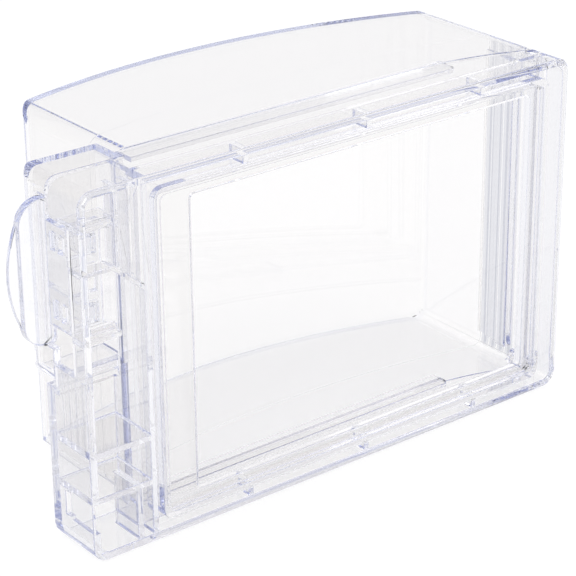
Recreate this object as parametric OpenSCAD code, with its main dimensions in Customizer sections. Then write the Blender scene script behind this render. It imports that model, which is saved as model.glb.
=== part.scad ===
// Splash-proof cover for a bathroom socket: a back frame that sits round the socket plate, a deep clear
// lid on a side hinge, and a push button that releases it.
// It stands on its long side. The socket side is at the back (low Y), the front of the lid is at high Y,
// the latch end is at low X and the hinge end at high X.

/* [Back frame] */
// Length from the latch end to the hinge end
frame_l = 174; // [160:1:200]
// Height of the frame as it stands
frame_h = 108; // [104:1:140]
// Depth of the frame, from the wall to the seam with the lid
frame_d = 20; // [18:0.5:26]
// Radius of the four outer corners of the frame
corner_r = 4.5; // [3:0.5:6]
// Wall thickness of the frame
frame_wall = 2.3; // [1.8:0.1:2.6]

/* [Window] */
// Length of the window round the socket
window_l = 124; // [90:1:126]
// Height of the window round the socket
window_h = 88.5; // [80:0.5:89]
// Corner radius of the window
window_r = 1.6; // [1:0.2:4]
// Distance from the hinge end to the window
window_inset = 13.6; // [12.5:0.1:16]
// How far the flange round the window lies behind the wall side
flange_set = 1.7; // [1:0.1:3]
// Thickness of the flange
flange_t = 2; // [1.5:0.1:2.6]

/* [Collar and ribs] */
// Gap between the outer wall and the collar round the window
channel_w = 2.4; // [2:0.1:2.6]
// Gap between the outer wall and the collar at the hinge end
end_channel_w = 5.2; // [4.8:0.1:6]
// Distance from the latch end to the collar
collar_x = 23.5; // [23:0.1:26]
// Wall thickness of the collar
collar_wall = 2.2; // [1.8:0.1:2.4]
// Height of the collar, from the wall side
collar_d = 8.4; // [7:0.1:9]
// Thickness of the web that closes the channel
web_t = 1.8; // [1.4:0.1:2.2]
// Thickness of the cross ribs in the channel
rib_t = 1.8; // [1.2:0.1:2.4]
// Distance from the latch end to the first rib
rib_x = 53; // [40:1:60]
// Distance between the ribs
rib_pitch = 43; // [36:1:46]
// Number of ribs along each long side
rib_count = 3; // [2:1:4]

/* [Lid] */
// Depth from the wall to the top of the bowed front
front_d = 78.5; // [66:0.5:90]
// Radius of the bow of the front
bow_r = 221; // [190:1:300]
// Distance from the latch end to the top of the bow
bow_x = 90; // [80:1:100]
// Wall thickness of the lid
lid_wall = 2.2; // [1.8:0.1:2.4]
// Wall thickness beyond the step inside the lid
lid_wall_thin = 1.9; // [1.4:0.1:2.1]
// Depth from the wall to the top of the step inside the lid
step_d = 41; // [36:0.5:46]
// Radius of the bow of the step inside the lid
step_bow_r = 330; // [300:5:420]
// Distance from the latch end to the top of that step
step_bow_x = 95; // [85:1:105]
// Distance from the latch end to the side of the deep part
dome_x = 24.6; // [24.4:0.1:27]
// Radius of the deep part's long edges at the latch side
dome_edge_r = 5; // [3:0.5:7]
// Radius of the front corner at the latch side
front_r_latch = 8; // [5:0.5:10]
// Radius of the front corner at the hinge side
front_r_hinge = 3; // [2.4:0.1:5]
// Length of the tongue below the seam, inside the frame
tongue_d = 4.8; // [3:0.2:6]
// Thickness of the tongue
tongue_t = 1.4; // [1:0.1:1.6]

/* [Hood] */
// Height of the latch hood as it stands
hood_h = 60; // [56:1:64]
// Depth from the wall to the front of the hood
hood_d = 28; // [26.5:0.5:32]
// Edge radius of the hood
hood_r = 4; // [3:0.5:5]
// Depth of the end wall below the hood
hood_seam_d = 15; // [14:0.5:16]

/* [Hinge] */
// Distance from the hinge end to the hinge axis
hinge_inset = 3; // [3:0.1:3.6]
// Distance from the wall to the hinge axis
hinge_d = 14; // [13:0.5:15]
// Diameter of the hinge stubs
stub_dia = 2.6; // [2:0.1:3]
// Radial clearance of the stubs in their bores
stub_clear = 0.05; // [0.03:0.01:0.08]
// Thickness of the hinge lugs
lug_t = 2.6; // [2:0.1:3]
// Distance from the latch end at which the seam starts to dip
dip_x = 131; // [120:1:136]

/* [Button] */
// Height of the thumb tab as it stands
tab_h = 42; // [38:0.5:43]
// How far the straight edge of the thumb tab stands out of the end wall
tab_out = 7.5; // [5:0.1:9]
// How far the rounded lip stands out past the straight edge
lip_out = 3.1; // [2:0.1:4]
// Length of the rounded lip along the tab
lip_h = 29; // [24:0.5:32]
// Corner radius of the thumb tab
tab_r = 7; // [4:0.5:7]
// Thickness of each of the tab's two layers
tab_t = 1.4; // [1:0.1:1.6]
// Travel of the button into the frame
button_travel = 2.5; // [1.5:0.1:2.8]

/* [Cable outlet] */
// Height of the knock-out panel in the end wall
knock_h = 9; // [6:0.5:12]
// Depth of the knock-out panel from the wall side
knock_d = 11; // [8:0.5:12]
// Thickness left in the knock-out panel
knock_t = 0.9; // [0.6:0.1:1.2]

/* [Fit] */
// Gap between pieces that move past each other
gap = 0.3; // [0.25:0.05:0.4]

/* [Hidden] */
$fn = 64;
eps = 0.01;
clear_tint = [0.82, 0.85, 0.98, 0.45];
tab_tint = [0.72, 0.78, 0.98, 0.6];

// Levels along the depth, from the wall
flange_back = flange_set + flange_t;
hinge_knuckle_r = hinge_inset;
end_wall_d = hinge_d - hinge_knuckle_r - 0.8;
lug_r = hinge_knuckle_r - 0.1;
tab_d = hood_seam_d + 1.6;
slide_d = 6.2;
slide_t = 2;
slide_h = 30;

// Places along the length
hinge_x = frame_l - hinge_inset;
window_x = frame_l - window_inset - window_l;
collar_l = frame_l - frame_wall - end_channel_w - collar_x;
collar_z = frame_wall + channel_w;
bay_wall_x = 20;
bay_wall_t = 1.8;

// Heights of the latch, measured from the middle of the hood
hood_z = frame_h - hood_h;
button_z = frame_h - 27;
slot_low = button_z - 26.5;
slot_top = button_z + 16.5;
prong_pitch = 19.6;
prong_h = 5;
prong_x = 5.5;
prong_t = 2.2;
nose_out = 1.2;
plate_t = 1.9;
slide_end = prong_x + prong_t + nose_out + 1.8;
guide_end = slide_end + button_travel + 0.3;

// Depth of the ribs and the slanted wall in the upper bay, on the wall side of the slide
bay_rib_d = slide_d - 0.6;

// Room round the tab in the wall of the hood, and how far the tab reaches into the hood
tab_gap = 0.6;
tab_reach = 2.4;

// Overlap of walls that are one piece
lap = 0.2;

// Whole part
part_l = frame_l + tab_out + lip_out;
part_d = front_d;

// Depth of the seam at a distance x from the latch end: level, then a soft dip towards the hinge
function seam(x) = x < dip_x ? frame_d
    : frame_d - (frame_d - hinge_d + hinge_knuckle_r) * pow((x - dip_x) / (hinge_x - dip_x), 2);

// Seam as a row of points from the latch end to the hinge
seam_points = concat([[-eps, frame_d]], [for (i = [0:12]) let (x = dip_x + (hinge_x - dip_x) * i / 12)
    [x, seam(x)]]);

// Points of an arc about a centre, from angle a0 to angle a1
function arc(cx, cy, r, a0, a1, n) = [for (i = [0:n]) let (a = a0 + (a1 - a0) * i / n)
    [cx + r * cos(a), cy + r * sin(a)]];

// Rectangle with round corners, its low corner at the origin
module rounded_rect(l, h, r) {
    translate([r, 0]) square([l - 2 * r, h]);
    translate([0, r]) square([l, h - 2 * r]);
    for (x = [r, l - r], z = [r, h - r])
        translate([x, z]) circle(r);
}

// Rectangle whose corners at low x have one radius and those at high x another
module two_radius_rect(l, h, r_low, r_high) {
    polygon(concat(
        arc(r_low, r_low, r_low, 180, 270, 12),
        arc(l - r_high, r_high, r_high, 270, 360, 12),
        arc(l - r_high, h - r_high, r_high, 0, 90, 12),
        arc(r_low, h - r_low, r_low, 90, 180, 12)));
}

// Extrudes an outline in length and height from depth y0 to depth y1
module across(y0, y1) {
    translate([0, y1, 0]) rotate([90, 0, 0]) linear_extrude(y1 - y0) children();
}

// Extrudes a plan in length and depth from height z0 to height z1
module upright(z0, z1) {
    translate([0, 0, z0]) linear_extrude(z1 - z0) children();
}

// Block given by its two opposite corners
module block(a, b) {
    translate(a) cube(b - a);
}

// Outline of the frame, shrunk by an inset
module frame_outline(inset) {
    translate([inset, inset]) rounded_rect(frame_l - 2 * inset, frame_h - 2 * inset, corner_r - inset * 0.7);
}

// Plan of everything on the wall side of the seam, lowered by an amount
module below_seam(drop) {
    translate([0, -drop])
        polygon(concat([[-eps, -1]], seam_points, [[frame_l + 1, seam(hinge_x)], [frame_l + 1, -1]]));
}

// Outer wall of the frame with its channel web, collar and flange
module frame_shell() {
    difference() {
        intersection() {
            across(0, frame_d) frame_outline(0);
            upright(-1, frame_h + 1) below_seam(gap);
        }
        across(-1, frame_d + 1) frame_outline(frame_wall);
        block([hinge_x - 12, end_wall_d, frame_wall], [frame_l + 1, frame_d + 1, frame_h - frame_wall]);
        block([hinge_x - hinge_knuckle_r - gap, end_wall_d, -1], [frame_l + 1, frame_d + 1, frame_h + 1]);
        block([-1, hood_seam_d, hood_z - gap], [dome_x + lap + gap, frame_d + 1, frame_h + 1]);
    }
    across(collar_d - web_t, collar_d) difference() {
        frame_outline(frame_wall - 0.2);
        translate([collar_x + 0.2, collar_z + 0.2])
            rounded_rect(collar_l - 0.4, frame_h - 2 * collar_z - 0.4, corner_r - 1);
        translate([0, frame_wall]) square([bay_wall_x, frame_h - 2 * frame_wall]);
    }
}

// Collar round the window, with the flange that the socket plate lies over
module window_collar() {
    across(0, collar_d) difference() {
        translate([collar_x, collar_z]) rounded_rect(collar_l, frame_h - 2 * collar_z, corner_r - 1);
        translate([collar_x + collar_wall, collar_z + collar_wall])
            rounded_rect(collar_l - 2 * collar_wall, frame_h - 2 * (collar_z + collar_wall), corner_r - 2.5);
    }
    across(flange_set, flange_back) difference() {
        translate([collar_x + 0.2, collar_z + 0.2])
            rounded_rect(collar_l - 0.4, frame_h - 2 * collar_z - 0.4, corner_r - 1);
        translate([window_x, (frame_h - window_h) / 2]) rounded_rect(window_l, window_h, window_r);
    }
}

// Cross ribs between the outer wall and the collar
module channel_ribs() {
    for (i = [0:rib_count - 1], z = [frame_wall - 0.2, frame_h - collar_z - 0.2])
        block([rib_x + i * rib_pitch, 0.6, z],
            [rib_x + i * rib_pitch + rib_t, collar_d - 0.2, z + channel_w + 0.4]);
}

// Lug of the hinge, between heights z0 and z1
module hinge_lug(z0, z1) {
    difference() {
        union() {
            translate([hinge_x, hinge_d, z0]) cylinder(h = z1 - z0, r = lug_r);
            block([hinge_x - lug_r, collar_d - web_t, z0], [hinge_x + lug_r * 0.8, hinge_d, z1]);
        }
        translate([hinge_x, hinge_d, z0 - 1]) cylinder(h = z1 - z0 + 2, d = stub_dia + 2 * stub_clear);
    }
}

// Walls of the latch bay and of the cable chamber below it
module latch_bay() {
    // Long inner wall of the cable chamber and of the bay
    block([bay_wall_x, 0.6, frame_wall - 0.2], [bay_wall_x + bay_wall_t, frame_d - gap, hood_z - gap - 0.2]);
    block([bay_wall_x, 0.6, frame_wall], [bay_wall_x + bay_wall_t, hood_seam_d, frame_h - frame_wall + 0.2]);
    // Web between the bay and the collar
    block([bay_wall_x + 0.2, collar_d - web_t, frame_wall], [collar_x + 0.5, collar_d, frame_h - frame_wall]);
    // Shelf under the bay
    shelf_z = frame_h - 76.6;
    block([frame_wall - 0.2, 0, shelf_z], [bay_wall_x + 0.2, frame_d - 1, shelf_z + 1.8]);
    // Guides of the button's slide, with the lips that hold it
    for (z = [button_z + slide_h / 2 + gap, button_z - slide_h / 2 - gap - 1.6])
        block([frame_wall - 0.2, slide_d - 4, z], [guide_end, slide_d + slide_t + 3, z + 1.6]);
    for (z = [button_z + slide_h / 2 - 1.2, button_z - slide_h / 2 - gap - 1])
        block([frame_wall + 2.6, slide_d - gap - 1.6, z], [guide_end, slide_d - gap, z + 2.5]);
    upper_bay();
    end_wall_beads();
    // Front plate over the cable chamber
    across(frame_d - gap - frame_wall, frame_d - gap) intersection() {
        frame_outline(0.3);
        square([dome_x + lid_wall - 0.8, hood_z - gap]);
    }
    // Top of the cable chamber, at the foot of the hood
    block([1, hood_seam_d - 0.2, hood_z - gap - frame_wall], [bay_wall_x + 0.2, frame_d - gap, hood_z - gap]);
    // Cable post and the shelf on it, across the cable chamber
    block([15, 0.6, frame_wall - 0.2], [16.8, 12, 18]);
    block([frame_wall - 0.2, 0.6, 17.4], [bay_wall_x + 0.2, frame_d - gap - frame_wall + 0.2, 19.2]);
}

// Ribs of the upper bay and the slanted wall that they stand on
module upper_bay() {
    rib_low = [for (x = [11.5, 15.9, 18.8]) [x, button_z + 2.7 - (x - 11.5) * 0.84]];
    for (r = rib_low)
        block([r[0], 0.6, r[1]], [r[0] + 1.2, bay_rib_d, frame_h - frame_wall + 0.2]);
    across(0.6, bay_rib_d) polygon([[frame_wall - 0.2, button_z + 3], [10.3, button_z + 3],
        [bay_wall_x + 0.2, button_z - 5.3], [bay_wall_x + 0.2, button_z - 3.7], [10.8, button_z + 4.4],
        [frame_wall - 0.2, button_z + 4.4]]);
}

// Low upright beads inside the end wall, between the shelf and the slot
module end_wall_beads() {
    for (i = [0:3])
        block([frame_wall - 0.2, 2.3 + i * 3.3, frame_h - 75.2],
            [frame_wall + 0.4, 3.5 + i * 3.3, slot_low - 1]);
}

// Slot in the end wall for the button, and the knock-out panel for the cable
module end_wall_cuts() {
    block([-1, 5.7, slot_low], [frame_wall + 0.4, frame_d + 1, slot_top]);
    knock_z = 9;
    block([knock_t, -1, knock_z], [frame_wall + 0.4, knock_d, knock_z + knock_h]);
    block([-1, knock_d, knock_z + 1], [frame_wall + 0.4, knock_d + 2.2, knock_z + knock_h - 0.6]);
}

module back_frame() {
    color(clear_tint) {
        difference() {
            union() {
                frame_shell();
                window_collar();
                channel_ribs();
                latch_bay();
            }
            end_wall_cuts();
        }
        hinge_lug(frame_wall + gap, frame_wall + gap + lug_t);
        hinge_lug(frame_h - frame_wall - gap - lug_t, frame_h - frame_wall - gap);
        block([hinge_x - lug_r, collar_d - web_t, frame_wall - 0.5],
            [hinge_x + lug_r * 0.8, collar_d, frame_wall + 1]);
        block([hinge_x - lug_r, collar_d - web_t, frame_h - frame_wall - 1],
            [hinge_x + lug_r * 0.8, collar_d, frame_h - frame_wall + 0.5]);
    }
}

// Plan of the deep part: a bowed front whose corners are tangent arcs. The wall is its inset from outside
module dome_plan(wall, r_latch, r_hinge) {
    bow_y = front_d - bow_r;
    r = bow_r - wall;
    x0 = dome_x + wall;
    x1 = frame_l - wall;
    cx0 = x0 + r_latch;
    cx1 = x1 - r_hinge;
    cy0 = bow_y + sqrt(pow(r - r_latch, 2) - pow(cx0 - bow_x, 2));
    cy1 = bow_y + sqrt(pow(r - r_hinge, 2) - pow(cx1 - bow_x, 2));
    turn0 = acos((cx0 - bow_x) / (r - r_latch));
    turn1 = acos((cx1 - bow_x) / (r - r_hinge));
    polygon(concat([[x0, 0], [x1, 0]],
        arc(cx1, cy1, r_hinge, 0, turn1, 12),
        arc(bow_x, bow_y, r, turn1 + 0.4, turn0 - 0.4, 48),
        arc(cx0, cy0, r_latch, turn0, 180, 12)));
}

// Plan of everything on the wall side of the step inside the lid, lowered by an amount
module below_step(drop) {
    past = 6;
    low_turn = acos((frame_l + past - step_bow_x) / step_bow_r);
    high_turn = acos((dome_x - past - step_bow_x) / step_bow_r);
    polygon(concat([[dome_x - past, -2], [frame_l + past, -2]],
        arc(step_bow_x, step_d - step_bow_r - drop, step_bow_r, low_turn, high_turn, 36)));
}

// Outline of the deep part in length and height, shrunk by an inset
module dome_outline(inset) {
    translate([dome_x + inset, inset]) two_radius_rect(frame_l - dome_x - 2 * inset, frame_h - 2 * inset,
        dome_edge_r - inset, corner_r - inset * 0.7);
}

// Plan of everything on the front side of the seam, with the end rolled about the hinge axis
module above_seam() {
    polygon(concat(seam_points, arc(hinge_x, hinge_d, hinge_knuckle_r, -82, 0, 10),
        [[frame_l + 1, hinge_d], [frame_l + 1, front_d + 1], [-eps, front_d + 1]]));
}

// Deep part with its cavity, its step and the rolled edge about the hinge
module dome() {
    difference() {
        intersection() {
            across(0, front_d + 1) dome_outline(0);
            upright(-1, frame_h + 1) intersection() {
                dome_plan(0, front_r_latch, front_r_hinge);
                above_seam();
            }
        }
        // Thick-walled cavity up to the step
        intersection() {
            across(-1, front_d) dome_outline(lid_wall);
            upright(0, frame_h) below_step(0);
        }
        // Thinner walls beyond it
        intersection() {
            across(-1, front_d) dome_outline(lid_wall_thin);
            upright(0, frame_h) difference() {
                dome_plan(lid_wall_thin, front_r_latch - lid_wall_thin, front_r_hinge - lid_wall_thin);
                below_step(0.1);
            }
        }
        // Room for the lugs of the frame
        for (z = [frame_wall, frame_h - frame_wall - lug_t - 2 * gap])
            block([hinge_x - 6, 0, z],
                [frame_l + 1, hinge_d + hinge_knuckle_r + gap + 0.5, z + lug_t + 2 * gap]);
    }
}

// Tongue that reaches past the seam inside the long walls of the frame
module tongue() {
    x0 = dome_x + lid_wall + gap;
    x1 = dip_x + 12;
    for (z = [frame_wall + gap, frame_h - frame_wall - gap - tongue_t]) {
        foot_z = z < frame_h / 2 ? lid_wall - 0.5 : z;
        upright(z, z + tongue_t) polygon(concat([[x0, frame_d + 2.4], [x0, frame_d - tongue_d]],
            arc(x1 - 2, frame_d - tongue_d + 2, 2, 270, 360, 8), [[x1, frame_d + 2.4]]));
        block([x0, frame_d + gap, foot_z],
            [x1, frame_d + 2.4, foot_z + tongue_t + frame_wall + gap - lid_wall + 0.5]);
    }
}

// Latch hood beside the deep part, with two prongs that reach into the bay
module hood() {
    difference() {
        hood_solid(0, 0);
        hood_solid(lid_wall, lid_wall);
        // Notch for the thumb tab
        block([-1, 0, button_z - tab_h / 2 - tab_gap],
            [lid_wall + 1, tab_d + 2 * tab_t + tab_gap, button_z + tab_h / 2 + tab_gap]);
    }
    for (z = [button_z - prong_pitch / 2, button_z + prong_pitch / 2]) prong(z);
}

// Solid form of the hood, shrunk by an inset, open towards the wall
module hood_solid(inset, cut) {
    r = hood_r - inset * 0.7;
    intersection() {
        across(hood_seam_d + gap - cut, hood_d + 1) translate([inset, hood_z + inset])
            two_radius_rect(dome_x - inset + 6, hood_h - 2 * inset, r, 1);
        upright(0, frame_h) polygon(concat(
            [[inset, 0], [dome_x + lap - inset, 0], [dome_x + lap - inset, hood_d - inset]],
            arc(inset + r, hood_d - inset - r, r, 90, 180, 12)));
    }
}

// Prong with its small nose, centred at height z
module prong(z) {
    block([prong_x, 5, z - prong_h / 2], [prong_x + prong_t, hood_d - lid_wall + lap, z + prong_h / 2]);
    translate([prong_x + prong_t - eps, 5, z - prong_h / 2]) linear_extrude(prong_h)
        polygon([[0, 0], [nose_out, 0.9], [0, 2.6]]);
}

// Stepped thickening inside the hinge-end wall of the lid
module end_steps() {
    x = frame_l - lid_wall;
    y = hinge_d + 4;
    upright(7, frame_h - 7) polygon([[x + 0.2, y], [x - 2.9, y], [x - 2.9, y + 4], [x - 2.1, y + 4],
        [x - 2.1, y + 7], [x - 1.4, y + 7], [x - 1.4, y + 10], [x - 0.7, y + 10], [x - 0.7, y + 14.5],
        [x + 0.2, y + 14.5]]);
}

// Stubs that turn in the lugs of the frame
module stubs() {
    for (z = [frame_wall - 0.4, frame_h - frame_wall - lug_t - 2 * gap])
        translate([hinge_x, hinge_d, z]) cylinder(h = lug_t + 2 * gap + 0.4, d = stub_dia);
}

module lid() {
    color(clear_tint) {
        dome();
        tongue();
        hood();
        end_steps();
        stubs();
    }
}

// Outline of the thumb tab in length and height, with or without the rounded lip
module tab_outline(with_lip) {
    lip_r = (pow(lip_h / 2, 2) + pow(lip_out, 2)) / (2 * lip_out);
    translate([-tab_out, button_z - tab_h / 2]) two_radius_rect(tab_out + tab_reach, tab_h, tab_r, 2);
    if (with_lip) intersection() {
        translate([-tab_out - lip_out + lip_r, button_z]) circle(lip_r, $fn = 128);
        translate([-tab_out - lip_out, button_z - lip_h / 2]) square([lip_out + 3, lip_h]);
    }
}

// Thumb tab: a straight-edged layer on the wall side and a layer with the rounded lip behind it
module thumb_tab() {
    across(tab_d, tab_d + tab_t + eps) tab_outline(false);
    across(tab_d + tab_t, tab_d + 2 * tab_t) tab_outline(true);
}

// Slide with two slots that the prongs pass through
module slide() {
    difference() {
        block([0.5, slide_d, button_z - slide_h / 2], [slide_end, slide_d + slide_t, button_z + slide_h / 2]);
        for (z = [button_z - prong_pitch / 2, button_z + prong_pitch / 2])
            block([0.5 + plate_t, 0, z - prong_h / 2 - 0.5],
                [prong_x + prong_t + nose_out + gap, frame_d, z + prong_h / 2 + 0.5]);
        block([0.5 + plate_t, 0, button_z - 4], [slide_end - 1.5, frame_d, button_z + 4]);
    }
    // Face plate in the slot of the end wall, with four small windows
    difference() {
        block([0.5, slide_d, button_z - slide_h / 2], [0.5 + plate_t, tab_d + 0.2, button_z + slide_h / 2]);
        for (z = [button_z - prong_pitch / 2, button_z + prong_pitch / 2], y = [slide_d + 2.4, slide_d + 6.2])
            block([0, y, z - prong_h / 2], [3, y + 2.2, z + prong_h / 2]);
    }
}

module latch_button() {
    color(tab_tint) {
        thumb_tab();
        slide();
    }
}

// Whole part, centred over the ground under the middle of its bounding box
module placed() {
    translate([-part_l / 2 + tab_out + lip_out, -part_d / 2, 0]) children();
}

placed() back_frame();
placed() lid();
placed() latch_button();
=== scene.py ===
"""Clear splash-proof cover for a bathroom socket, dressed for rendering.

The back frame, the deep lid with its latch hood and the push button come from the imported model. This script
gives them their clear plastic, rounds their edges, and sets up the studio and the camera.
"""
import logging
import math
from dataclasses import dataclass, field
from enum import Enum

import bpy
from mathutils import Matrix, Vector


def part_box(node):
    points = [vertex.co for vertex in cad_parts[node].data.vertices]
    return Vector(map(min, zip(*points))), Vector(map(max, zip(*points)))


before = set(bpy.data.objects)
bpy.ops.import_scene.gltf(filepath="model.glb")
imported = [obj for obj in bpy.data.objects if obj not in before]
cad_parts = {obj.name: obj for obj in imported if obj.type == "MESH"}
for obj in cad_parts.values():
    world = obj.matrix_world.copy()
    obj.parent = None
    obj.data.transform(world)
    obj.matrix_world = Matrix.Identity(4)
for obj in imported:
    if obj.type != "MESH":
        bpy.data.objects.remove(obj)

logging.basicConfig(level=logging.INFO, format="%(levelname)s %(message)s")
log = logging.getLogger("socket_cover")

MM = 0.001
LONG_PATH_BOUNCES = 160
SURFACE_BOUNCES = 120
CLEAR_SHADOW_BOUNCES = 40


class Body(Enum):
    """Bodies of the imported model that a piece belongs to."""

    FRAME = "frame"
    COVER = "cover"
    BUTTON = "button"


class Node(Enum):
    """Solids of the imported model."""

    BACK_FRAME = "back_frame"
    LID = "lid"
    LATCH_BUTTON = "latch_button"


@dataclass(frozen=True)
class ClearPlastic:
    """Water-clear moulded plastic with a faint lavender tint and painted shade in its thick edges.

    Attributes:
        name: Name of the material.
        body_tint: Colour of light that has crossed one surface.
        edge_tint_and_shade: Colour seen edge on: lavender where light runs along the wall, and painted shade
            on the edges.
        depth_tint: Colour that a long way through the plastic takes on.
        depth_density: How fast that colour builds up, per metre.
        painted_reflection_tint: Colour of the faces that look along the length. It stands for the dark sides
            of the photo's studio, which the white surround doesn't have, and not for a colour of the plastic.
        end_start: Where along the length that tint starts, in millimetres in the shared frame.
        end_depth: Between which depths it lies, in millimetres in the shared frame.
        end_pitch: Pitch of the bands that it comes in, in millimetres.
        ior: Index of refraction.
        polish: Roughness of the polished mould faces.
        haze: Roughness that handling adds in patches.
        ripple: Strength of the slow flow ripple in the walls.
        grain: Strength of the fine mould grain.
        edge_blend: How early the edge tint comes in as the wall turns away.
        shadow_tint: Colour of the light that the plastic lets through to the floor.
    """

    name: str
    body_tint: tuple[float, float, float]
    edge_tint_and_shade: tuple[float, float, float]
    depth_tint: tuple[float, float, float]
    depth_density: float
    # The default grey on the end faces is a painted reflection of dark studio sides
    painted_reflection_tint: tuple[float, float, float] = (0.88, 0.88, 0.895)
    end_start: float = -90.0
    end_depth: tuple[float, float] = (-40.0, 40.0)
    end_pitch: float = 200.0
    ior: float = 1.57
    polish: float = 0.0
    haze: float = 0.035
    ripple: float = 0.05
    grain: float = 0.004
    edge_blend: float = 0.35
    shadow_tint: tuple[float, float, float] = (0.95, 0.95, 0.96)

    def build(self, groups: "PlasticGroups") -> bpy.types.Material:
        """Builds the node material.

        Args:
            groups: The shared effects.

        Returns:
            The finished material.
        """
        mat = bpy.data.materials.new(self.name)
        mat.use_nodes = True
        nodes, links = mat.node_tree.nodes, mat.node_tree.links
        nodes.clear()
        out = nodes.new("ShaderNodeOutputMaterial")
        shader = nodes.new("ShaderNodeBsdfPrincipled")
        shader.inputs["Metallic"].default_value = 0.0
        shader.inputs["Transmission Weight"].default_value = 1.0
        shader.inputs["IOR"].default_value = self.ior
        shader.inputs["Specular IOR Level"].default_value = 0.5

        # Colour: clear face on; where the wall is seen edge on, a lavender tint and painted shade that
        # darkens the edges
        facing = nodes.new("ShaderNodeLayerWeight")
        facing.inputs["Blend"].default_value = self.edge_blend
        tint = nodes.new("ShaderNodeMix")
        tint.data_type = "RGBA"
        tint.inputs["A"].default_value = (*self.body_tint, 1.0)
        tint.inputs["B"].default_value = (*self.edge_tint_and_shade, 1.0)
        links.new(facing.outputs["Facing"], tint.inputs["Factor"])

        # Painted reflection: grey bands on the faces that look along the length, for dark studio sides that
        # the white surround lacks
        painted_bands = nodes.new("ShaderNodeGroup")
        painted_bands.node_tree = groups.painted_reflection_mask
        painted_bands.inputs["Start"].default_value = self.end_start * MM
        painted_bands.inputs["Near"].default_value = self.end_depth[0] * MM
        painted_bands.inputs["Far"].default_value = self.end_depth[1] * MM
        painted_bands.inputs["Pitch"].default_value = self.end_pitch * MM
        shade = nodes.new("ShaderNodeMix")
        shade.data_type = "RGBA"
        shade.inputs["B"].default_value = (*self.painted_reflection_tint, 1.0)
        links.new(painted_bands.outputs["Mask"], shade.inputs["Factor"])
        links.new(tint.outputs["Result"], shade.inputs["A"])
        links.new(shade.outputs["Result"], shader.inputs["Base Color"])

        # Finish: polished, with patches of light haze
        handling = nodes.new("ShaderNodeGroup")
        handling.node_tree = groups.handling
        handling.inputs["Polish"].default_value = self.polish
        handling.inputs["Haze"].default_value = self.haze
        links.new(handling.outputs["Roughness"], shader.inputs["Roughness"])

        surface = nodes.new("ShaderNodeGroup")
        surface.node_tree = groups.mould_surface
        surface.inputs["Ripple"].default_value = self.ripple
        surface.inputs["Grain"].default_value = self.grain
        links.new(surface.outputs["Normal"], shader.inputs["Normal"])

        # Shadow rays pass almost freely, as they do through clear plastic
        rays = nodes.new("ShaderNodeLightPath")
        clear = nodes.new("ShaderNodeBsdfTransparent")
        clear.inputs["Color"].default_value = (*self.shadow_tint, 1.0)
        mix = nodes.new("ShaderNodeMixShader")
        links.new(rays.outputs["Is Shadow Ray"], mix.inputs["Fac"])
        links.new(shader.outputs["BSDF"], mix.inputs[1])
        links.new(clear.outputs["BSDF"], mix.inputs[2])
        links.new(mix.outputs["Shader"], out.inputs["Surface"])

        # Depth: a long way through the plastic turns the light pale blue
        depth = nodes.new("ShaderNodeVolumeAbsorption")
        depth.inputs["Color"].default_value = (*self.depth_tint, 1.0)
        depth.inputs["Density"].default_value = self.depth_density
        links.new(depth.outputs["Volume"], out.inputs["Volume"])
        return mat


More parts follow.
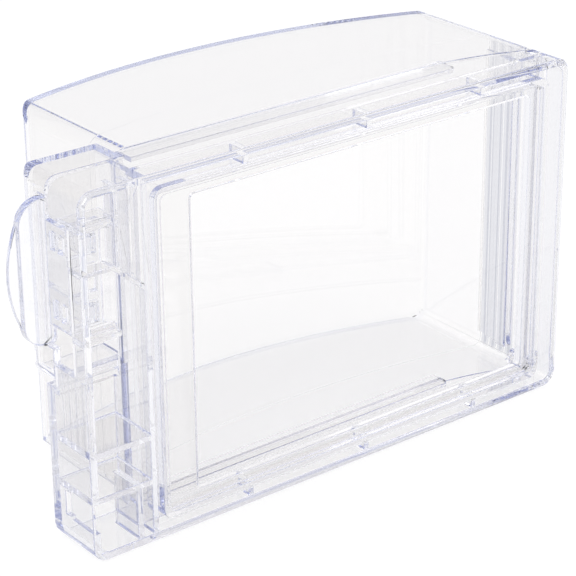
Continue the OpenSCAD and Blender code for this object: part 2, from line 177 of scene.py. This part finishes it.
@dataclass
class PlasticGroups:
    """Shader node groups that the clear plastics share.

    Attributes:
        haze_scale: Scale of the patches of haze.
        haze_range: Levels of the noise between which a patch fades in.
        ripple_scale: Scale of the flow ripple.
        ripple_depth: Depth of the flow ripple, in metres.
        grain_scale: Scale of the mould grain.
        grain_depth: Depth of the mould grain, in metres.
        end_turn: How far a face has to look along the length for the painted reflection to fade in.
        band_share: Share of each pitch that a band of the painted reflection takes.
        handling: Group that gives the roughness.
        mould_surface: Group that gives the normal.
        painted_reflection_mask: Group that gives the mask of the painted reflection bands.
    """

    haze_scale: float = 22.0
    haze_range: tuple[float, float] = (0.52, 0.78)
    ripple_scale: float = 34.0
    ripple_depth: float = 0.0006
    grain_scale: float = 900.0
    grain_depth: float = 0.00004
    end_turn: tuple[float, float] = (0.7, 0.95)
    band_share: float = 0.6
    handling: bpy.types.NodeTree = field(init=False)
    mould_surface: bpy.types.NodeTree = field(init=False)
    painted_reflection_mask: bpy.types.NodeTree = field(init=False)

    def __post_init__(self) -> None:
        """Builds the groups once."""
        self.handling = self._handling()
        self.mould_surface = self._mould_surface()
        self.painted_reflection_mask = self._painted_reflection_mask()

    @staticmethod
    def _new(name: str, inputs: dict[str, float], outputs: dict[str, str]) -> tuple:
        """Makes an empty group with named sockets.

        Args:
            name: Name of the group.
            inputs: Name and default of each number that goes in.
            outputs: Name and socket type of each value that comes out.

        Returns:
            The tree, its input node and its output node.
        """
        tree = bpy.data.node_groups.new(name, "ShaderNodeTree")
        for label, value in inputs.items():
            socket = tree.interface.new_socket(label, in_out="INPUT", socket_type="NodeSocketFloat")
            socket.default_value = value
        for label, kind in outputs.items():
            tree.interface.new_socket(label, in_out="OUTPUT", socket_type=kind)
        return tree, tree.nodes.new("NodeGroupInput"), tree.nodes.new("NodeGroupOutput")

    def _handling(self) -> bpy.types.NodeTree:
        """Returns the group that mixes polish and haze in soft patches."""
        tree, given, out = self._new(
            "handling_haze", {"Polish": 0.01, "Haze": 0.05}, {"Roughness": "NodeSocketFloat"})
        coord = tree.nodes.new("ShaderNodeTexCoord")
        noise = tree.nodes.new("ShaderNodeTexNoise")
        noise.inputs["Scale"].default_value = self.haze_scale
        noise.inputs["Detail"].default_value = 4.0
        patch = tree.nodes.new("ShaderNodeMapRange")
        patch.inputs["From Min"].default_value = self.haze_range[0]
        patch.inputs["From Max"].default_value = self.haze_range[1]
        tree.links.new(coord.outputs["Object"], noise.inputs["Vector"])
        tree.links.new(noise.outputs["Fac"], patch.inputs["Value"])
        tree.links.new(given.outputs["Polish"], patch.inputs["To Min"])
        tree.links.new(given.outputs["Haze"], patch.inputs["To Max"])
        tree.links.new(patch.outputs["Result"], out.inputs["Roughness"])
        return tree

    def _mould_surface(self) -> bpy.types.NodeTree:
        """Returns the group that gives the flow ripple and the fine grain as a normal."""
        tree, given, out = self._new(
            "mould_surface", {"Ripple": 0.1, "Grain": 0.02}, {"Normal": "NodeSocketVector"})
        coord = tree.nodes.new("ShaderNodeTexCoord")
        slow = tree.nodes.new("ShaderNodeTexNoise")
        slow.inputs["Scale"].default_value = self.ripple_scale
        slow.inputs["Detail"].default_value = 1.0
        fine = tree.nodes.new("ShaderNodeTexNoise")
        fine.inputs["Scale"].default_value = self.grain_scale
        fine.inputs["Detail"].default_value = 2.0
        first = tree.nodes.new("ShaderNodeBump")
        first.inputs["Distance"].default_value = self.ripple_depth
        second = tree.nodes.new("ShaderNodeBump")
        second.inputs["Distance"].default_value = self.grain_depth
        tree.links.new(coord.outputs["Object"], slow.inputs["Vector"])
        tree.links.new(coord.outputs["Object"], fine.inputs["Vector"])
        tree.links.new(slow.outputs["Fac"], first.inputs["Height"])
        tree.links.new(given.outputs["Ripple"], first.inputs["Strength"])
        tree.links.new(fine.outputs["Fac"], second.inputs["Height"])
        tree.links.new(given.outputs["Grain"], second.inputs["Strength"])
        tree.links.new(first.outputs["Normal"], second.inputs["Normal"])
        tree.links.new(second.outputs["Normal"], out.inputs["Normal"])
        return tree

    @staticmethod
    def _math(tree: bpy.types.NodeTree, operation: str,
              *values: bpy.types.NodeSocket | float) -> bpy.types.NodeSocket:
        """Adds one sum to a group.

        Args:
            tree: The group.
            operation: Which sum.
            values: The sockets or the numbers that go in.

        Returns:
            The socket of the result.
        """
        node = tree.nodes.new("ShaderNodeMath")
        node.operation = operation
        for place, value in enumerate(values):
            if isinstance(value, float):
                node.inputs[place].default_value = value
            else:
                tree.links.new(value, node.inputs[place])
        return node.outputs["Value"]

    def _painted_reflection_mask(self) -> bpy.types.NodeTree:
        """Returns the group that finds the bands of painted reflection on the faces that look along the
        length.
        """
        tree, given, out = self._new(
            "painted_reflection_mask", {"Start": 0.0, "Near": -0.04, "Far": 0.04, "Pitch": 0.2},
            {"Mask": "NodeSocketFloat"})
        coord = tree.nodes.new("ShaderNodeTexCoord")
        looks = tree.nodes.new("ShaderNodeSeparateXYZ")
        place = tree.nodes.new("ShaderNodeSeparateXYZ")
        turned = tree.nodes.new("ShaderNodeMapRange")
        turned.inputs["From Min"].default_value = self.end_turn[0]
        turned.inputs["From Max"].default_value = self.end_turn[1]
        tree.links.new(coord.outputs["Normal"], looks.inputs["Vector"])
        tree.links.new(coord.outputs["Object"], place.inputs["Vector"])
        along = self._math(tree, "ABSOLUTE", looks.outputs["X"])
        tree.links.new(along, turned.inputs["Value"])

        # Where it lies: past the start and between the two depths
        past = self._math(tree, "GREATER_THAN", place.outputs["X"], given.outputs["Start"])
        behind = self._math(tree, "GREATER_THAN", place.outputs["Y"], given.outputs["Near"])
        before = self._math(tree, "LESS_THAN", place.outputs["Y"], given.outputs["Far"])
        within = self._math(tree, "MULTIPLY", behind, before)
        lies = self._math(tree, "MULTIPLY", within, past)

        # Bands of the painted reflection along the depth
        away = self._math(tree, "SUBTRACT", place.outputs["Y"], given.outputs["Near"])
        count = self._math(tree, "DIVIDE", away, given.outputs["Pitch"])
        step = self._math(tree, "FRACT", count)
        band = self._math(tree, "LESS_THAN", step, self.band_share)
        banded = self._math(tree, "MULTIPLY", lies, band)
        mask = self._math(tree, "MULTIPLY", turned.outputs["Result"], banded)
        tree.links.new(mask, out.inputs["Mask"])
        return tree


@dataclass
class EdgeFinish:
    """Rounds the sharp edges of a moulded piece and smooths its curved faces.

    Attributes:
        radius: Edge radius in millimetres.
        smooth_angle: Edges flatter than this are smoothed, in degrees.
        segments: Steps across each rounded edge.
        weld: Points nearer to each other than this are joined, in metres.
    """

    radius: float = 0.25
    smooth_angle: float = 28.0
    segments: int = 2
    weld: float = 2e-6

    def weld_tree(self) -> bpy.types.NodeTree:
        """Returns the geometry nodes that join the faces and smooth them by angle."""
        name = "moulded_faces"
        if name in bpy.data.node_groups:
            return bpy.data.node_groups[name]
        tree = bpy.data.node_groups.new(name, "GeometryNodeTree")
        tree.interface.new_socket("Geometry", in_out="INPUT", socket_type="NodeSocketGeometry")
        tree.interface.new_socket("Geometry", in_out="OUTPUT", socket_type="NodeSocketGeometry")
        nodes, links = tree.nodes, tree.links
        given, out = nodes.new("NodeGroupInput"), nodes.new("NodeGroupOutput")
        merge = nodes.new("GeometryNodeMergeByDistance")
        merge.inputs["Distance"].default_value = self.weld
        plain = nodes.new("GeometryNodeRemoveAttribute")
        plain.inputs["Name"].default_value = "custom_normal"
        faces = nodes.new("GeometryNodeSetShadeSmooth")
        faces.domain = "FACE"
        faces.inputs["Shade Smooth"].default_value = True
        edges = nodes.new("GeometryNodeSetShadeSmooth")
        edges.domain = "EDGE"
        edges.inputs["Shade Smooth"].default_value = False
        angle = nodes.new("GeometryNodeInputMeshEdgeAngle")
        sharp = nodes.new("FunctionNodeCompare")
        sharp.data_type = "FLOAT"
        sharp.operation = "GREATER_THAN"
        sharp.inputs[1].default_value = math.radians(self.smooth_angle)
        links.new(given.outputs[0], merge.inputs["Geometry"])
        links.new(merge.outputs["Geometry"], plain.inputs["Geometry"])
        links.new(plain.outputs["Geometry"], faces.inputs["Geometry"])
        links.new(faces.outputs["Geometry"], edges.inputs["Geometry"])
        links.new(angle.outputs["Unsigned Angle"], sharp.inputs[0])
        links.new(sharp.outputs["Result"], edges.inputs["Selection"])
        links.new(edges.outputs["Geometry"], out.inputs[0])
        return tree

    def apply_to(self, obj: bpy.types.Object) -> None:
        """Adds the modifiers that weld, round and smooth a piece.

        Args:
            obj: The piece.
        """
        faces = obj.modifiers.new("moulded_faces", "NODES")
        faces.node_group = self.weld_tree()
        if self.radius > 0:
            edge = obj.modifiers.new("edge_radius", "BEVEL")
            edge.limit_method = "ANGLE"
            edge.angle_limit = math.radians(self.smooth_angle)
            edge.width = self.radius * MM
            edge.segments = self.segments
            edge.use_clamp_overlap = False
            edge.harden_normals = False
        even = obj.modifiers.new("even_normals", "WEIGHTED_NORMAL")
        even.mode = "FACE_AREA"
        even.keep_sharp = True


@dataclass
class MouldedPiece:
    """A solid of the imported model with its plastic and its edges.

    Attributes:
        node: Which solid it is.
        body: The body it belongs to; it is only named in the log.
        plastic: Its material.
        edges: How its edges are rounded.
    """

    node: Node
    body: Body
    plastic: ClearPlastic
    edges: EdgeFinish = field(default_factory=EdgeFinish)

    def dress(self, groups: PlasticGroups) -> bpy.types.Object:
        """Gives the solid its plastic and its rounded edges.

        Args:
            groups: The shared effects.

        Returns:
            The dressed object.
        """
        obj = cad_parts[self.node.value]
        mat = self.plastic.build(groups)
        if not obj.material_slots:
            obj.data.materials.append(mat)
        for slot in obj.material_slots:
            slot.material = mat
        self.edges.apply_to(obj)
        low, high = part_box(self.node.value)
        size = [round(v / MM, 1) for v in high - low]
        log.info("%s on %s: %s mm", self.node.value, self.body.value, size)
        return obj


@dataclass
class Studio:
    """Plain pale floor, soft lamps and a white surround.

    Attributes:
        floor_size: Width of the floor, in metres.
        aim: Point that the lamps look at, in metres.
        ceiling_level: Brightness of the studio above, as the plastic sees it.
        key_power: Power of the large lamp over the left, in watts.
        fill_power: Power of the lamp on the right, in watts.
        ceiling_tint: Colour of the studio above.
        ceiling_from: Height at which the white surround starts to turn to the ceiling, from 0 to 1.
        ceiling_full: Height at which it has turned.
        floor_grey: How much lamp light the floor gives back.
        floor_glow: How bright the floor looks by itself.
        floor_drop: How far the floor lies under the part, in metres.
    """

    floor_size: float = 8.0
    aim: tuple[float, float, float] = (0.0, 0.0, 0.05)
    ceiling_level: float = 0.88
    key_power: float = 6.0
    fill_power: float = 3.0
    ceiling_tint: tuple[float, float, float] = (1.0, 0.99, 1.02)
    ceiling_from: float = 0.16
    ceiling_full: float = 0.55
    floor_grey: float = 0.36
    floor_glow: float = 0.675
    floor_drop: float = 0.0003

    def build(self) -> None:
        """Builds the surround, the floor and the lamps."""
        self._surround()
        self._floor()
        self._lamp("lamp_key", (-0.9, -0.5, 1.3), 1.0, self.key_power)
        self._lamp("lamp_fill", (1.2, -0.9, 0.9), 0.8, self.fill_power)
        log.info("studio built")

    def _surround(self) -> None:
        """White surround, with a greyer ceiling that only bent or mirrored light sees."""
        world = bpy.data.worlds.new("surround")
        bpy.context.scene.world = world
        world.use_nodes = True
        nodes, links = world.node_tree.nodes, world.node_tree.links
        nodes.clear()
        out = nodes.new("ShaderNodeOutputWorld")
        back = nodes.new("ShaderNodeBackground")
        rays = nodes.new("ShaderNodeLightPath")
        coord = nodes.new("ShaderNodeTexCoord")
        split = nodes.new("ShaderNodeSeparateXYZ")
        ramp = nodes.new("ShaderNodeValToRGB")
        low, high = ramp.color_ramp.elements
        low.position = self.ceiling_from
        low.color = (1, 1, 1, 1)
        high.position = self.ceiling_full
        high.color = (*(self.ceiling_level * part for part in self.ceiling_tint), 1)
        mix = nodes.new("ShaderNodeMix")
        mix.data_type = "RGBA"
        mix.inputs["B"].default_value = (1, 1, 1, 1)
        links.new(coord.outputs["Generated"], split.inputs["Vector"])
        links.new(split.outputs["Z"], ramp.inputs["Fac"])
        links.new(rays.outputs["Is Camera Ray"], mix.inputs["Factor"])
        links.new(ramp.outputs["Color"], mix.inputs["A"])
        links.new(mix.outputs["Result"], back.inputs["Color"])
        links.new(back.outputs["Background"], out.inputs["Surface"])

    def _floor(self) -> None:
        """White floor that shows white to the eye and to bent or mirrored light."""
        half = self.floor_size / 2
        mesh = bpy.data.meshes.new("floor")
        mesh.from_pydata([(-half, -half, 0), (half, -half, 0), (half, half, 0), (-half, half, 0)], [],
                         [(0, 1, 2, 3)])
        floor = bpy.data.objects.new("floor", mesh)
        floor.location.z = -self.floor_drop
        bpy.context.scene.collection.objects.link(floor)
        mat = bpy.data.materials.new("white_floor")
        mat.use_nodes = True
        nodes, links = mat.node_tree.nodes, mat.node_tree.links
        nodes.clear()
        out = nodes.new("ShaderNodeOutputMaterial")
        plain = nodes.new("ShaderNodeBsdfDiffuse")
        plain.inputs["Color"].default_value = (self.floor_grey, self.floor_grey, self.floor_grey, 1)
        glow = nodes.new("ShaderNodeEmission")
        rays = nodes.new("ShaderNodeLightPath")
        direct = nodes.new("ShaderNodeMath")
        direct.operation = "MAXIMUM"
        seen = nodes.new("ShaderNodeMath")
        seen.operation = "MAXIMUM"
        level = nodes.new("ShaderNodeMath")
        level.operation = "MULTIPLY"
        level.inputs[1].default_value = self.floor_glow
        add = nodes.new("ShaderNodeAddShader")
        links.new(rays.outputs["Is Camera Ray"], direct.inputs[0])
        links.new(rays.outputs["Is Glossy Ray"], direct.inputs[1])
        links.new(direct.outputs["Value"], seen.inputs[0])
        links.new(rays.outputs["Is Transmission Ray"], seen.inputs[1])
        links.new(seen.outputs["Value"], level.inputs[0])
        links.new(level.outputs["Value"], glow.inputs["Strength"])
        links.new(plain.outputs["BSDF"], add.inputs[0])
        links.new(glow.outputs["Emission"], add.inputs[1])
        links.new(add.outputs["Shader"], out.inputs["Surface"])
        mesh.materials.append(mat)

    def _lamp(self, name: str, place: tuple[float, float, float], size: float, power: float) -> None:
        """Hangs one soft square lamp that looks at the part.

        Args:
            name: Name of the lamp.
            place: Where it hangs, in metres.
            size: Its width, in metres.
            power: Its power, in watts.
        """
        light = bpy.data.lights.new(name, "AREA")
        light.size = size
        light.energy = power
        lamp = bpy.data.objects.new(name, light)
        lamp.location = place
        way = Vector(self.aim) - Vector(place)
        lamp.rotation_euler = way.to_track_quat("-Z", "Y").to_euler()
        bpy.context.scene.collection.objects.link(lamp)


@dataclass(frozen=True)
class PhotoCamera:
    """The photograph's viewpoint.

    Attributes:
        place: Where the camera stands, in metres.
        right: Direction of the picture's right side.
        up: Direction of the picture's top.
        lens: Focal length in millimetres.
        sensor: Width of the square sensor in millimetres.
        nearest: Nearest distance that shows, in metres.
    """

    place: tuple[float, float, float] = (-0.349788, -0.466134, 0.307720)
    right: tuple[float, float, float] = (0.783960, -0.620756, -0.008332)
    up: tuple[float, float, float] = (0.260938, 0.317305, 0.911717)
    lens: float = 134.375
    sensor: float = 36.0
    nearest: float = 0.01

    def build(self) -> None:
        """Creates the camera and makes it the scene's own."""
        data = bpy.data.cameras.new("photo_camera")
        data.lens = self.lens
        data.sensor_width = self.sensor
        data.clip_start = self.nearest
        camera = bpy.data.objects.new("photo_camera", data)
        right, up = Vector(self.right), Vector(self.up)
        back = right.cross(up)
        turn = Matrix((right, up, back)).transposed().to_4x4()
        camera.matrix_world = Matrix.Translation(self.place) @ turn
        bpy.context.scene.collection.objects.link(camera)
        bpy.context.scene.camera = camera
        log.info("camera at %s m, lens %.1f mm", self.place, self.lens)


WATER_CLEAR = (0.955, 0.950, 0.939)
# Edge colour: faint lavender of thick plastic plus painted shade that darkens the edges
EDGE_LAVENDER_AND_SHADE = (0.915, 0.911, 0.926)
DEEP_BLUE = (0.47, 0.53, 0.81)
WALL_DENSITY = 7.0
FRAME_PLASTIC = ClearPlastic("clear_frame", WATER_CLEAR, EDGE_LAVENDER_AND_SHADE, DEEP_BLUE, WALL_DENSITY)
# The lid's deep grey bands on its end faces are a painted reflection of dark studio sides
LID_PLASTIC = ClearPlastic(
    "clear_lid", WATER_CLEAR, EDGE_LAVENDER_AND_SHADE, DEEP_BLUE, WALL_DENSITY,
    painted_reflection_tint=(0.62, 0.63, 0.68), end_start=55.0, end_depth=(-21.3, -6.8), end_pitch=3.63)
# The button's edge colour is likewise partly painted shade on its edges
BUTTON_PLASTIC = ClearPlastic(
    "clear_button", body_tint=(0.990, 0.990, 0.990), edge_tint_and_shade=(0.95, 0.96, 0.99),
    depth_tint=DEEP_BLUE, depth_density=16.0)


def main() -> None:
    """Builds the camera, the studio and the dressed pieces, and reports each of them."""
    scene = bpy.context.scene
    scene.view_settings.view_transform = "Standard"
    scene.cycles.max_bounces = LONG_PATH_BOUNCES
    scene.cycles.transmission_bounces = SURFACE_BOUNCES
    scene.cycles.glossy_bounces = SURFACE_BOUNCES
    scene.cycles.transparent_max_bounces = CLEAR_SHADOW_BOUNCES
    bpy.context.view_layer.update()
    PhotoCamera().build()
    Studio().build()
    groups = PlasticGroups()
    MouldedPiece(Node.BACK_FRAME, Body.FRAME, FRAME_PLASTIC).dress(groups)
    MouldedPiece(Node.LID, Body.COVER, LID_PLASTIC).dress(groups)
    MouldedPiece(Node.LATCH_BUTTON, Body.BUTTON, BUTTON_PLASTIC).dress(groups)


if __name__ == "__main__":
    main()
